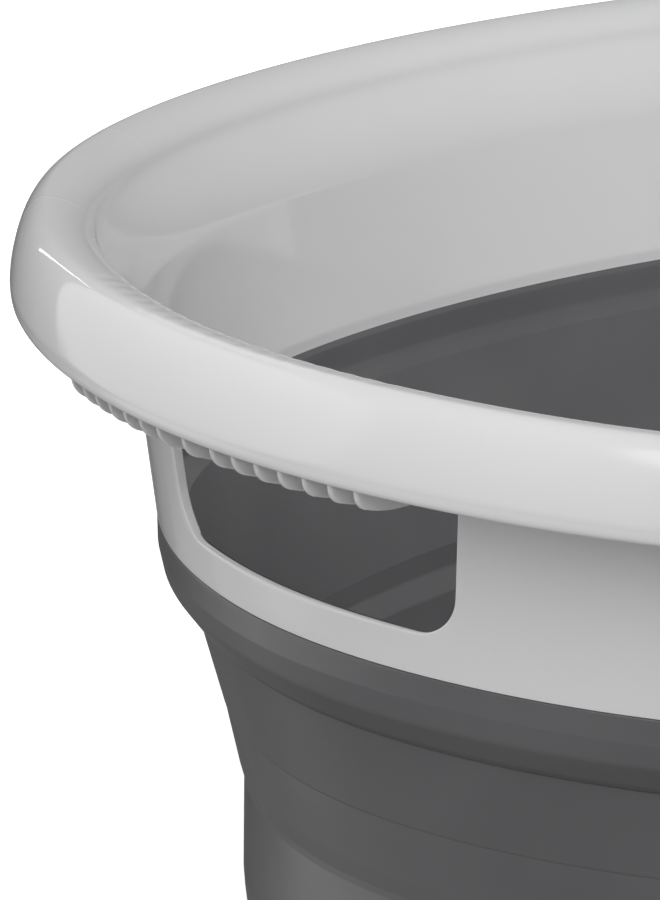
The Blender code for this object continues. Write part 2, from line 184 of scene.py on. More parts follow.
def collar_angles():
    """Columns around the collar: close together at both handles and at the parting lines."""
    quarter = PERIMETER / 4
    dense = np.arange(0.0, HANDLE_REACH * MM, HANDLE_STEP * MM)
    rest = np.linspace(dense[-1], quarter, int((quarter - dense[-1]) / (SIDE_STEP * MM)))[1:]
    q = np.concatenate([dense, rest])
    run = np.concatenate([q, 2 * quarter - q[::-1][1:], 2 * quarter + q[1:], 4 * quarter - q[::-1][1:-1]])
    extra = [PERIMETER / 2 + (place + step) * MM for place in PARTING_LINES for step in PARTING_STEPS]
    keep = [x for x in run if min(abs(x - e) for e in extra) > PARTING_CLEARANCE * MM]
    return angle_at(np.array(sorted(keep + extra)))


# ------------------------------------------------------------------------------------------
# sections
# ------------------------------------------------------------------------------------------
def rounded(corners, steps=5):
    """A closed run of (inset, height, radius) corners with each corner rounded off."""
    pts = [np.array(c[:2], float) for c in corners]
    out = []
    for i, corner in enumerate(corners):
        radius = corner[2]
        here, before, after = pts[i], pts[i - 1], pts[(i + 1) % len(pts)]
        u, w = before - here, after - here
        lu, lw = np.linalg.norm(u), np.linalg.norm(w)
        if radius <= 0 or lu < 1e-9 or lw < 1e-9:
            out.append(tuple(here))
            continue
        u, w = u / lu, w / lw
        half = math.acos(max(-1.0, min(1.0, float(u @ w)))) / 2
        longest = 0.46 * min(lu, lw)       # a rounding takes less than half of either side
        cut = min(radius / max(math.tan(half), 1e-3), longest)
        a, b = here + u * cut, here + w * cut
        for k in range(steps + 1):
            t = k / steps
            out.append(tuple(a * (1 - t) ** 2 + here * 2 * t * (1 - t) + b * t * t))
    return out


def refine(section, longest):
    """Adds points so that no step of a closed section is longer than `longest`."""
    out = []
    for i, a in enumerate(section):
        b = section[(i + 1) % len(section)]
        n = max(1, int(math.ceil(math.dist(a, b) / longest)))
        out += [(a[0] + (b[0] - a[0]) * k / n, a[1] + (b[1] - a[1]) * k / n) for k in range(n)]
    return out


def arc(centre, radii, start, end, steps):
    """Points on an upright ellipse from one angle in degrees to another."""
    turn = np.radians(np.linspace(start, end, steps))
    return [(centre[0] + radii[0] * math.cos(t), centre[1] + radii[1] * math.sin(t)) for t in turn]


def section_normals(section):
    """Unit normals of a closed section, on the left of its direction."""
    points = np.array(section)
    step = np.roll(points, -1, axis=0) - np.roll(points, 1, axis=0)
    normal = np.stack([-step[:, 1], step[:, 0]], axis=1)
    return normal / np.linalg.norm(normal, axis=1)[:, None]


def wall_inset(height):
    """Outer inset of the tapered collar wall at a height, which is negative below the skirt."""
    return WALL_TOP - (WALL_FOOT - WALL_TOP) * float(height) / COLLAR_DEPTH


def inner_wall_inset(height):
    return wall_inset(height) + wall_thickness(height)


def wall_thickness(height):
    """The collar wall's thickness, less where the soft cuff sits inside its foot."""
    return WALL_SKIN if height > -CUFF_TOP else CUFF_SEAT


# ------------------------------------------------------------------------------------------
# mesh making
# ------------------------------------------------------------------------------------------
class Shell:
    """Vertices and faces of one piece, in metres."""

    def __init__(self):
        self.points, self.faces, self.count = [], [], 0

    def add(self, points):
        """Adds a loop of points and gives back its vertex numbers."""
        points = np.asarray(points, float).reshape(-1, 3)
        self.points.append(points)
        self.count += len(points)
        return np.arange(self.count - len(points), self.count)

    def ring(self, angles, inset, height):
        """Adds a parallel curve of the outline, where inset and height may vary by column."""
        flat, normal = outline(angles)
        inset = np.broadcast_to(np.asarray(inset, float), (len(angles),))[:, None]
        height = np.broadcast_to(np.asarray(height, float), (len(angles),))
        flat = flat - normal * inset * MM
        return self.add(np.column_stack([flat, SKIRT_Z + height * MM]))

    def strip(self, a, b):
        """Faces between two closed loops of the same length."""
        n = len(a)
        for k in range(n):
            m = (k + 1) % n
            self.faces.append((a[k], a[m], b[m], b[k]))

    def skin(self, loops, closed=False):
        """Joins each loop to the next one, and the last to the first where closed."""
        following = loops[1:] + loops[:1] if closed else loops[1:]
        for a, b in zip(loops, following):
            self.strip(a, b)

    def cap(self, loop):
        """Closes a loop with one face."""
        self.faces.append(tuple(loop))

    def make(self, name, material, sharp=38.0):
        """The finished object, smooth except at edges sharper than an angle in degrees."""
        mesh = bpy.data.meshes.new(name)
        faces = [tuple(int(i) for i in f) for f in self.faces]
        mesh.from_pydata(np.concatenate(self.points).tolist(), [], faces)
        bm = bmesh.new()
        bm.from_mesh(mesh)
        bmesh.ops.remove_doubles(bm, verts=bm.verts, dist=1e-7)
        bmesh.ops.recalc_face_normals(bm, faces=bm.faces)
        bm.to_mesh(mesh)
        bm.free()
        mesh.shade_smooth()
        mesh.set_sharp_from_angle(angle=math.radians(sharp))
        mesh.materials.append(material)
        obj = bpy.data.objects.new(name, mesh)
        bpy.context.scene.collection.objects.link(obj)
        return obj


def band(name, section, material, angles):
    """A closed section carried all the way around the outline."""
    shell = Shell()
    shell.skin([shell.ring(angles, inset, height) for inset, height in section], closed=True)
    return shell.make(name, material)


def turned(name, profile, centre, material, steps=64, hollow=False):
    """Turns (radius, height) pairs in millimetres about an upright axis."""
    shell = Shell()
    axis = Vector((0, 0, 1))
    side = axis.orthogonal().normalized()
    up = axis.cross(side)
    turn = np.linspace(0, 2 * math.pi, steps, endpoint=False)
    around = np.outer(np.cos(turn), side) + np.outer(np.sin(turn), up)
    rows = []
    for radius, height in profile:
        rows.append(shell.add(np.array(centre) + np.array(axis) * height * MM + around * radius * MM))
    shell.skin(rows, closed=hollow)
    if not hollow:
        shell.cap(rows[0])
        shell.cap(rows[-1])
    return shell.make(name, material)


def take(piece, body, slot, *nodes):
    """A rigid piece that rides on a body and stands for CAD nodes."""
    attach(piece, body)
    if nodes:
        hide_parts(*nodes)
    return piece


# ------------------------------------------------------------------------------------------
# materials
# ------------------------------------------------------------------------------------------
NOISE_RANGE = (0.35, 0.65)         # the part of a noise's values that a ramp spreads out


class Paint:
    """A node material that is put together one noise at a time."""

    def __init__(self, name, roughness, metallic=0.0, specular=0.5):
        self.mat = bpy.data.materials.new(name)
        self.mat.use_nodes = True
        self.nodes, self.links = self.mat.node_tree.nodes, self.mat.node_tree.links
        self.shader = self.nodes["Principled BSDF"]
        self.set(Roughness=roughness, Metallic=metallic)
        self.shader.inputs["Specular IOR Level"].default_value = specular
        self.place = self.nodes.new("ShaderNodeTexCoord").outputs["Object"]
        self.height = None

    def set(self, **values):
        for key, value in values.items():
            self.shader.inputs[key.replace("_", " ")].default_value = value

    def noise(self, scale, detail=2.0, stretch=(1, 1, 1)):
        """Noise that stays on the object; a bigger scale is a finer grain."""
        mapping = self.nodes.new("ShaderNodeMapping")
        mapping.inputs["Scale"].default_value = stretch
        self.links.new(self.place, mapping.inputs["Vector"])
        noise = self.nodes.new("ShaderNodeTexNoise")
        noise.inputs["Scale"].default_value = scale
        noise.inputs["Detail"].default_value = detail
        self.links.new(mapping.outputs["Vector"], noise.inputs["Vector"])
        return noise.outputs["Fac"]

    def ramp(self, value, low, high):
        """Spreads a noise's middle values over low to high."""
        span = self.nodes.new("ShaderNodeMapRange")
        span.inputs["From Min"].default_value = NOISE_RANGE[0]
        span.inputs["From Max"].default_value = NOISE_RANGE[1]
        span.inputs["To Min"].default_value = low
        span.inputs["To Max"].default_value = high
        self.links.new(value, span.inputs["Value"])
        return span.outputs["Result"]

    def colour(self, value, first, second):
        """Base colour that drifts between two colours."""
        mix = self.nodes.new("ShaderNodeMix")
        mix.data_type = "RGBA"
        mix.inputs["A"].default_value = (*first, 1.0)
        mix.inputs["B"].default_value = (*second, 1.0)
        self.links.new(self.ramp(value, 0.0, 1.0), mix.inputs["Factor"])
        self.links.new(mix.outputs["Result"], self.shader.inputs["Base Color"])

    def rough(self, value, low, high):
        self.links.new(self.ramp(value, low, high), self.shader.inputs["Roughness"])

    def bump(self, value, distance):
        """Adds a bump, its distance in metres, on top of those before it."""
        node = self.nodes.new("ShaderNodeBump")
        node.inputs["Distance"].default_value = distance
        self.links.new(value, node.inputs["Height"])
        if self.height is not None:
            self.links.new(self.height, node.inputs["Normal"])
        self.height = node.outputs["Normal"]
        self.links.new(self.height, self.shader.inputs["Normal"])


def gloss_white():
    p = Paint("gloss_white_plastic", 0.12)
    p.colour(p.noise(9.0), (0.775, 0.775, 0.785), (0.81, 0.81, 0.815))
    p.rough(p.noise(45.0, 3.0), 0.04, 0.08)
    p.bump(p.noise(95.0, 2.0), 0.00004)
    p.bump(p.noise(900.0, 2.0), 0.0000012)
    return p.mat


def satin_white():
    p = Paint("satin_white_plastic", 0.3)
    p.colour(p.noise(8.0), (0.76, 0.76, 0.77), (0.80, 0.80, 0.805))
    p.rough(p.noise(24.0, 1.0), 0.30, 0.36)
    p.bump(p.noise(240.0, 1.0), 0.000008)
    return p.mat


def soft_grey():
    p = Paint("grey_elastomer", 0.4)
    p.colour(p.noise(26.0, 4.0), (0.115, 0.115, 0.120), (0.130, 0.130, 0.135))
    p.rough(p.noise(70.0, 3.0), 0.30, 0.37)
    p.bump(p.noise(55.0, 2.0), 0.00009)
    p.bump(p.noise(2200.0, 2.0), 0.000006)
    return p.mat


def roller_grey():
    p = Paint("grey_roller_plastic", 0.36)
    p.colour(p.noise(40.0, 2.0), (0.21, 0.21, 0.22), (0.245, 0.245, 0.255))
    p.rough(p.noise(120.0, 2.0), 0.3, 0.42)
    p.bump(p.noise(1600.0, 2.0), 0.000005)
    return p.mat


def dark_rubber(name, first, second, roughness):
    """Rubber that drifts between two colours, for the drain and the pads."""
    p = Paint(name, roughness, specular=0.35)
    p.colour(p.noise(90.0, 4.0), first, second)
    p.rough(p.noise(150.0, 2.0), roughness - 0.08, roughness + 0.08)
    p.bump(p.noise(1100.0, 3.0), 0.00002)
    return p.mat


def steel():
    p = Paint("brushed_steel_pin", 0.28, metallic=1.0)
    p.colour(p.noise(60.0), (0.58, 0.58, 0.59), (0.66, 0.66, 0.67))
    p.rough(p.noise(400.0, 2.0, stretch=(1, 0.05, 1)), 0.29, 0.38)
    p.bump(p.noise(2600.0, 2.0, stretch=(1, 0.04, 1)), 0.000004)
    return p.mat


WHITE = gloss_white()
SATIN = satin_white()
GREY = soft_grey()
ROLLER = roller_grey()
DRAIN = dark_rubber("grey_drain_rubber", (0.085, 0.085, 0.09), (0.115, 0.115, 0.12), 0.5)
PAD = dark_rubber("dark_pad_rubber", (0.045, 0.045, 0.05), (0.075, 0.075, 0.08), 0.68)
STEEL = steel()


# ------------------------------------------------------------------------------------------
# collar
# ------------------------------------------------------------------------------------------
def roll_outside():
    """The skirt's lip, the roll over its crest and the start of the edge inside it, outside in."""
    lip = [(1.5, 0.0), (1.05, 0.08), (0.68, 0.32), (0.42, 0.75), (0.26, 1.3), (0.13, 2.0), (0.04, 2.8)]
    outer = arc((ROLL_CREST, SKIRT_LIP), (ROLL_CREST, ROLL_HEIGHT - SKIRT_LIP), 182, 90, 24)
    inner_radii = (ROLL_INNER[0] - ROLL_CREST, ROLL_HEIGHT - ROLL_INNER[1])
    inner = arc((ROLL_CREST, ROLL_INNER[1]), inner_radii, 90, 14, 20)
    return lip + outer + inner[1:] + [(15.6, 13.0), (15.95, 12.35), (16.4, 11.7), (16.95, 11.0)]


def under_roll():
    """The roll's hidden underside, from the wall's outer top to the skirt's inner edge."""
    inner = arc((ROLL_CREST, 11.3), (8.77, 4.96), 0, 90, 8)
    outer = arc((ROLL_CREST, SKIRT_LIP), (ROLL_CREST - SKIN, ROLL_HEIGHT - SKIRT_LIP - SKIN), 90, 180, 10)
    lip = [(2.9, 1.2), (2.75, 0.45), (2.4, 0.08), (1.9, -0.02)]
    return [(19.3, 4.6), (16.6, 8.4)] + inner + outer[1:] + lip


# Rows and reach of the block of wall that is left open around each slot.
BLOCK_HEIGHTS = np.linspace(-1.3, -35.3, 32)
BLOCK_REACH = 59.0 * MM


def surface_marks(angles):
    """How strong the sink marks over the fins and the parting lines are at each column."""
    run = run_at(angles) / MM
    sink, line = np.zeros(len(angles)), np.zeros(len(angles))
    for middle in (0.0, PERIMETER / MM / 2, PERIMETER / MM):
        for place in FIN_PLACES:
            sink += np.exp(-((run - middle - place) / SINK_WIDTH) ** 2)
    for place in PARTING_LINES:
        line += np.exp(-((run - PERIMETER / MM / 2 - place) / PARTING_WIDTH) ** 2)
    return sink, line


def make_collar():
    """The rolled rim, the tapered wall with both hand slots and the grip fins, as one piece."""
    shell = Shell()
    angles = collar_angles()
    top = roll_outside()
    section = top + [(17.6, 10.25), (18.4, 9.3), (19.9, 7.5), (21.3, 5.6), (22.7, 3.2), (23.65, 1.2)]
    inner_block = range(len(section), len(section) + len(BLOCK_HEIGHTS))
    section += [(inner_wall_inset(height), height) for height in BLOCK_HEIGHTS]
    foot = WALL_FOOT + CUFF_SEAT
    section += [(wall_inset(-38.0) + CUFF_SEAT, -38.0), (foot, -40.9), (foot - 0.1, -41.0),
                (WALL_FOOT + 0.25, -41.0), (WALL_FOOT + 0.02, -40.85), (wall_inset(-40.0), -40.0),
                (wall_inset(-37.8), -37.8)]
    outer_block = range(len(section), len(section) + len(BLOCK_HEIGHTS))
    section += [(wall_inset(height), height) for height in BLOCK_HEIGHTS[::-1]]
    section += [(WALL_TOP, 0.0), (21.3, 1.6)] + under_roll()
    sink, line = surface_marks(angles)
    rows = []
    for i, ((inset, height), normal) in enumerate(zip(section, section_normals(section))):
        move = np.zeros(len(angles))
        if i < len(top):               # sink marks fade out towards both sides of the roll
            window = np.clip((inset - 3.0) / 4.0, 0, 1) * np.clip((15.4 - inset) / 1.2, 0, 1)
            if height > 10.0:
                move -= SINK_DEPTH * window * sink
            if height > 2.5 and inset < 15.6:
                move += PARTING_RISE * line
        rows.append(shell.ring(angles, inset + normal[0] * move, height + normal[1] * move))
    for middle, facing in HANDLES:
        make_slot(shell, angles, rows, inner_block, outer_block, middle, facing)
    reach = slot_columns(angles)
    for i, row in enumerate(rows):
        following = rows[(i + 1) % len(rows)]
        in_block = i in inner_block[:-1] or i in outer_block[:-1]
        for k in range(len(angles)):
            m = (k + 1) % len(angles)
            if not (in_block and reach[k] and reach[m]):
                shell.faces.append((row[k], row[m], following[m], following[k]))
    for middle, _ in HANDLES:
        for place in FIN_PLACES:
            add_fin(shell, middle + place * MM)
    return take(shell.make("rim_collar", WHITE, 40.0), "collar", "collar_plastic", "upper_collar")


def slot_columns(angles):
    """Which columns lie in the slots' blocks."""
    run = run_at(angles)
    away = np.minimum(np.minimum(run, PERIMETER - run), abs(run - PERIMETER / 2))
    return away <= BLOCK_REACH


LOCAL_ANGLES = np.linspace(-1.0, 1.0, 2001)
LOCAL_POINTS, LOCAL_NORMALS = outline(LOCAL_ANGLES)


def local_angle(q, inset):
    """Normal angle, near the +X end, of the point at sideways distance q on a parallel curve."""
    y = (LOCAL_POINTS[:, 1] - LOCAL_NORMALS[:, 1] * inset * MM) / MM
    return float(np.interp(q, y, LOCAL_ANGLES))


def contour_point(side, t, grow):
    """Point (q, height) on the slot's rounded outline: side 0 bottom, 1 right, 2 top, 3 left."""
    half, bottom, top = SLOT_HALF + grow, SLOT_BOTTOM - grow, SLOT_TOP + grow
    low, high = SLOT_CORNER + grow, SLOT_TOP_CORNER + grow
    radii = [low, low, high, high]
    centres = [(low - half, bottom + low), (half - low, bottom + low), (half - high, top - high),
               (high - half, top - high)]
    start, end, r0, r1 = centres[side], centres[(side + 1) % 4], radii[side], radii[(side + 1) % 4]
    facing = math.radians(90 * side - 90)
    straight = abs(start[side % 2] - end[side % 2])
    bend0, bend1 = math.pi / 4 * r0, math.pi / 4 * r1
    at = t * (straight + bend0 + bend1)
    if at < bend0:
        turn = facing - math.pi / 4 * (1 - at / bend0)
        q, height = start[0] + r0 * math.cos(turn), start[1] + r0 * math.sin(turn)
    elif at > bend0 + straight:
        turn = facing + math.pi / 4 * (at - bend0 - straight) / bend1
        q, height = end[0] + r1 * math.cos(turn), end[1] + r1 * math.sin(turn)
    else:
        share = (at - bend0) / straight
        a = (start[0] + r0 * math.cos(facing), start[1] + r0 * math.sin(facing))
        b = (end[0] + r1 * math.cos(facing), end[1] + r1 * math.sin(facing))
        q, height = a[0] + (b[0] - a[0]) * share, a[1] + (b[1] - a[1]) * share
    return q * (1 - SLOT_NARROWING * (SLOT_TOP - height)), height


def block_loop(row_ids, columns):
    """All round a block of the wall from its lowest row: (side, share along it, row, column)."""
    n, m = columns - 1, len(row_ids) - 1
    loop = [(0, k / n, row_ids[0], k) for k in range(n)]
    loop += [(1, k / m, row_ids[k], n) for k in range(m)]
    loop += [(2, k / n, row_ids[m], n - k) for k in range(n)]
    loop += [(3, k / m, row_ids[m - k], 0) for k in range(m)]
    return loop


def make_slot(shell, angles, rows, inner_block, outer_block, middle, facing):
    """Joins the collar's outer and inner wall around one hand slot, with rounded edges."""
    offset = (run_at(angles) - middle + PERIMETER / 2) % PERIMETER - PERIMETER / 2
    inside = np.where(abs(offset) <= BLOCK_REACH)[0]
    columns = inside[np.argsort(offset[inside])]
    local = (angles[columns] - facing + math.pi) % (2 * math.pi) - math.pi
    outer_loop = block_loop(outer_block, len(columns))
    inner_loop = block_loop(inner_block[::-1], len(columns))
    heights = dict(zip(inner_block, BLOCK_HEIGHTS))
    heights.update(zip(outer_block, BLOCK_HEIGHTS[::-1]))

    def add_loop(points):
        """Adds (local angle, inset, height) points."""
        turn, inset, height = np.array(points).T
        flat, normal = outline(turn + facing)
        flat = flat - normal * (inset * MM)[:, None]
        return shell.add(np.column_stack([flat, SKIRT_Z + height * MM]))

    def contour(loop, grow, share):
        """Slot outline points matched to a block loop, part way through the wall."""
        out = []
        for side, t, _, _ in loop:
            q, height = contour_point(side, t, grow)
            inset = wall_inset(height) + share * wall_thickness(height)
            out.append((local_angle(q, inset), inset, height))
        return out

    def between(loop, edge, share, inset_at):
        """Points on the wall part way from a block loop to the slot's edge."""
        out = []
        for (_, _, row, k), (turn, _, height) in zip(loop, edge):
            height = heights[row] * (1 - share) + height * share
            out.append((local[k] * (1 - share) + turn * share, inset_at(height), height))
        return out

    edge = contour(outer_loop, SLOT_EDGE, 0.0)
    loops = [np.array([rows[row][columns[k]] for _, _, row, k in outer_loop])]
    for share in (0.4, 0.75):
        loops.append(add_loop(between(outer_loop, edge, share, wall_inset)))
    turns = (0, 20, 45, 70, 90)
    for turn, far in [(turn, False) for turn in turns] + [(turn, True) for turn in turns[::-1]]:
        t = math.radians(turn)
        depth = SLOT_EDGE * (1 - math.cos(t)) / WALL_SKIN
        grow = SLOT_EDGE * (1 - math.sin(t))
        loops.append(add_loop(contour(outer_loop, grow, 1 - depth if far else depth)))
    shell.skin(loops)
    inner_edge = contour(inner_loop, SLOT_EDGE, 1.0)
    grid = np.array([rows[row][columns[k]] for _, _, row, k in inner_loop])
    halfway = add_loop(between(inner_loop, inner_edge, 0.5, inner_wall_inset))
    inner_edge = add_loop(inner_edge)
    shell.skin([grid, halfway, inner_edge])
    zip_loops(shell, inner_edge, loops[-1], len(inner_block) - 1, len(outer_block) - 1, len(columns) - 1)


def zip_loops(shell, a, b, rows_a, rows_b, columns):
    """Joins two loops whose upright sides have different numbers of vertices."""
    ia = ib = 0
    la, lb = len(a), len(b)
    for pa, pb in ((columns, columns), (rows_a, rows_b)) * 2:
        i = j = 0
        while i < pa or j < pb:
            va, vb = a[(ia + i) % la], b[(ib + j) % lb]
            if j >= pb or (i < pa and (i + 1) / pa <= (j + 1) / pb + 1e-9):
                if j < pb and abs((i + 1) / pa - (j + 1) / pb) < 1e-9:
                    shell.faces.append((va, a[(ia + i + 1) % la], b[(ib + j + 1) % lb], vb))
                    i += 1
                    j += 1
                else:
                    shell.faces.append((va, a[(ia + i + 1) % la], vb))
                    i += 1
            else:
                shell.faces.append((va, b[(ib + j + 1) % lb], vb))
                j += 1
        ia += pa
        ib += pb


def bezier(p0, p1, p2, p3, steps):
    """Points on a cubic curve with two end points and two handles."""
    t = np.linspace(0, 1, steps)[:, None]
    p0, p1, p2, p3 = map(np.array, (p0, p1, p2, p3))
    curve = (1 - t) ** 3 * p0 + 3 * t * (1 - t) ** 2 * p1
    curve = curve + 3 * t * t * (1 - t) * p2 + t ** 3 * p3
    return [tuple(point) for point in curve]


def fin_outline():
    """A grip fin from its side: steep behind the skirt, then sinking gently to the wall."""
    grip = bezier((1.8, 0.5), (1.9, -2.0), (3.4, -3.9), (6.2, -4.4), 8)
    grip += bezier((6.2, -4.4), (10.5, -5.7), (16.5, -6.8), (23.2, -6.9), 9)[1:]
    grip += [(24.2, -6.0), (23.6, -1.5)]
    roof = [(20.6, 4.2), (16.9, 9.2)] + arc((ROLL_CREST, 11.3), (9.6, 5.9), 8, 90, 6)
    roof += arc((ROLL_CREST, SKIRT_LIP), (ROLL_CREST - 1.2, ROLL_HEIGHT - SKIRT_LIP - 1.2), 90, 176, 7)[1:]
    return np.array(grip + roof)


def add_fin(shell, run):
    """One grip fin across the rim, its outline shrunk a little towards both faces."""
    point, normal = outline(np.array([float(angle_at(run))]))
    point, normal = point[0], normal[0]
    across = np.array([-normal[1], normal[0], 0.0])
    side_view = fin_outline()
    inward = section_normals(side_view)
    loops = []
    for share, shrink in ((-1, 0.46), (-0.93, 0.24), (-0.75, 0.09), (-0.4, 0.015), (0, 0), (0.4, 0.015),
                          (0.75, 0.09), (0.93, 0.24), (1, 0.46)):
        flat = side_view + inward * shrink
        place = np.column_stack([point - np.outer(flat[:, 0] * MM, normal), SKIRT_Z + flat[:, 1] * MM])
        loops.append(shell.add(place + across * share * (FIN_THICKNESS / 2) * MM))
    shell.skin(loops)
    shell.cap(loops[0])
    shell.cap(loops[-1])


def fold(name, section, node):
    """A soft fold of the sleeve between the rings below and above it, built in place and attached to no body.
    """
    piece = band(name, refine(rounded(section), FOLD_STEP), GREY, even_angles(SLEEVE_COLUMNS))
    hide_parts(node)
    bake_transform(piece)


def soft_ring(name, section, body, node):
    """A ring of the sleeve that keeps its shape and rides on one body."""
    piece = band(name, refine(rounded(section), RING_STEP), GREY, even_angles(SLEEVE_COLUMNS))
    take(piece, body, "sleeve_elastomer", node)


def make_sleeve():
    """The sleeve from its cuff down; a section runs down the outer face and back up the inner."""
    outer = [(insets[0], height, 0.0) for insets, height in zip(HINGE_INSETS, HINGES)]
    inner = [(insets[1], height, 0.0) for insets, height in zip(HINGE_INSETS, HINGES)]
    cuff = [(30.85, -32.6, 0.0), (31.9, -33.4, 0.4), (32.95, -39.2, 2.5), inner[0], outer[0]]
    soft_ring("soft_cuff", cuff, "collar", "sleeve_cuff")
    upper = [(30.8, -41.05, 0.35), (31.3, -46.2, 2.0), (31.6, -47.2, 2.0), (32.7, -50.9, 4.0),
             (37.2, -56.0, 3.6), (38.3, -56.9, 0.8), outer[1], inner[1], inner[0]]
    fold("soft_fold_upper", upper, "sleeve_fold_upper")
    ring = [outer[1], (45.7, -75.6, 0.3), outer[2], inner[2], inner[1]]
    soft_ring("soft_ring_upper", ring, "upper_ring", "sleeve_ring_upper")
    middle = [outer[2], (47.0, -79.5, 2.0), (49.6, -88.0, 3.0), (50.9, -91.6, 1.6), outer[3],
              inner[3], (53.5, -84.4, 1.6), (50.2, -80.6, 1.8), inner[2]]
    fold("soft_fold_middle", middle, "sleeve_fold_middle")
    ring = [outer[3], outer[4], inner[4], inner[3]]
    soft_ring("soft_ring_middle", ring, "middle_ring", "sleeve_ring_middle")
    lower = [outer[4], (52.9, -115.0, 2.0), (54.6, -123.6, 3.0), (55.9, -127.2, 1.6), outer[5],
             inner[5], (58.4, -120.0, 1.6), (55.6, -116.2, 1.8), inner[4]]
    fold("soft_fold_lower", lower, "sleeve_fold_lower")
    ring = [outer[5], (57.0, -146.5, 0.4), (59.8, -146.5, 0.4), inner[5]]
    soft_ring("soft_ring_lower", ring, "base", "sleeve_ring_lower")


# ------------------------------------------------------------------------------------------
# base
# ------------------------------------------------------------------------------------------
FLOOR_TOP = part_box("drain_seat")[0].z / MM + 3.0     # this and UNDERSIDE: above the ground
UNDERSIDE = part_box("base_tray")[0].z / MM
FLOOR_EDGE = 71.0                  # inset where the flat floor starts
DRAIN_X = (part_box("drain_seat")[0].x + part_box("drain_seat")[1].x) / 2
DRAIN_HOLE = 15.0                  # radius
NUB_PITCH = 13.0
NUB_COLUMNS = 16                   # on each side of the middle, before the clearances
NUB_ROWS = 8
NUB_RADIUS = 3.3
NUB_HEIGHT = 2.0
NUB_SINK = 0.15                    # how deep a nub reaches into the floor
NUB_EDGE = 72.0                    # inset of the curve that the nubs stay inside
EDGE_CLEARANCE = 7.0
DRAIN_CLEARANCE = 27.0             # from the drain's middle


def ground(height):
    """A height above the ground as a section height."""
    return height - SKIRT_Z / MM


def make_base():
    """The tray: up the outside, over the rim, down the inside, and both faces of the floor."""
    shell = Shell()
    angles = even_angles(300)
    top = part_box("base_tray")[1].z / MM
    inside = rounded([(57.3, top, 0.0), (59.8, top, 0.5), (60.2, FLOOR_TOP + 14.0, 3.0),
                      (61.2, FLOOR_TOP + 5.0, 4.0), (66.2, FLOOR_TOP, 4.0), (FLOOR_EDGE, FLOOR_TOP, 0.0)])
    outside = rounded([(FLOOR_EDGE, UNDERSIDE, 0.0), (67.5, UNDERSIDE, 2.0), (61.0, UNDERSIDE + 1.8, 3.0),
                       (58.6, UNDERSIDE + 7.5, 3.0), (57.6, UNDERSIDE + 15.0, 3.0), (57.35, top - 6.0, 0.3),
                       (57.0, top - 5.6, 0.3), (57.0, top, 0.5), (58.0, top, 0.0)])
    rows = [shell.ring(angles, inset, ground(height)) for inset, height in outside[:-2] + inside[2:]]
    shell.skin(rows)
    hole_top = add_floor(shell, rows[-1], FLOOR_TOP)
    hole_low = add_floor(shell, rows[0], UNDERSIDE)
    shell.strip(hole_top, hole_low)
    return take(shell.make("base_tray_shell", SATIN, 40.0), "base", "base_plastic", "base_tray")


def add_floor(shell, rim, height):
    """A flat floor from its oval edge to the drain hole, in even loops; gives back the last."""
    edge = np.concatenate(shell.points)[rim]
    turn = np.arctan2(edge[:, 1], edge[:, 0] - DRAIN_X)
    hole = np.column_stack([DRAIN_X + DRAIN_HOLE * MM * np.cos(turn), DRAIN_HOLE * MM * np.sin(turn),
                            np.full(len(turn), height * MM)])
    loops = [rim]
    for share in (0.3, 0.6, 0.85, 1.0):
        row = edge * (1 - share) + hole * share
        row[:, 2] = height * MM
        loops.append(shell.add(row))
    shell.skin(loops)
    return loops[-1]


def make_nubs():
    """Low massage nubs on the floor, around the rollers and clear of the drain."""
    shell = Shell()
    frame_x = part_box("roller_frame_left")[1].x / MM + EDGE_CLEARANCE
    edge = (FINE_POINTS[::12] - FINE_NORMALS[::12] * NUB_EDGE * MM) / MM
    for i in range(-NUB_COLUMNS, NUB_COLUMNS + 1):
        for j in range(-NUB_ROWS, NUB_ROWS + 1):
            x = i * NUB_PITCH
            y = (j + 0.5 * (i % 2)) * NUB_PITCH
            if abs(x) < frame_x or math.hypot(x - DRAIN_X / MM, y) < DRAIN_CLEARANCE:
                continue
            nearest = edge[np.argmin(np.hypot(edge[:, 0] - x, edge[:, 1] - y))]
            if math.hypot(x, y) > math.hypot(*nearest) or math.dist(nearest, (x, y)) < EDGE_CLEARANCE:
                continue
            add_dome(shell, x, y, FLOOR_TOP - NUB_SINK)
    return take(shell.make("floor_nubs", SATIN, 50.0), "base", "base_plastic")


def add_dome(shell, x, y, z):
    """One round nub, closed at its top and underneath."""
    turn = np.linspace(0, 2 * math.pi, 14, endpoint=False)
    loops = []
    for share in (1.0, 0.93, 0.78, 0.55, 0.28):
        rise = math.sqrt(max(0.0, 1 - share ** 2.4))
        loops.append(shell.add(np.column_stack([(x + NUB_RADIUS * share * np.cos(turn)) * MM,
                                                (y + NUB_RADIUS * share * np.sin(turn)) * MM,
                                                np.full(len(turn), (z + NUB_HEIGHT * rise) * MM)])))
    shell.skin(loops)
    shell.cap(loops[-1])
    shell.cap(loops[0])


def make_feet():
    """Four rubber pads with two ring ribs each underneath."""
    for number in range(1, 5):
        node = f"foot_pad_{number}"
        low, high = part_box(node)
        centre = ((low.x + high.x) / 2, (low.y + high.y) / 2, 0.0)
        radius, top = (high.x - low.x) / 2 / MM, high.z / MM
        profile = [(0.4, 0.9), (3.0, 0.9), (3.5, 0.35), (4.0, 0.0), (6.2, 0.0), (6.7, 0.35), (7.0, 0.9),
                   (8.2, 0.9), (8.6, 0.35), (9.1, 0.0), (11.9, 0.0), (12.6, 0.25), (radius, 0.9),
                   (radius, top - 0.6), (radius - 0.5, top), (0.4, top)]
        take(turned(f"ribbed_pad_{number}", profile, centre, PAD, 56), "base", "pad_rubber", node)


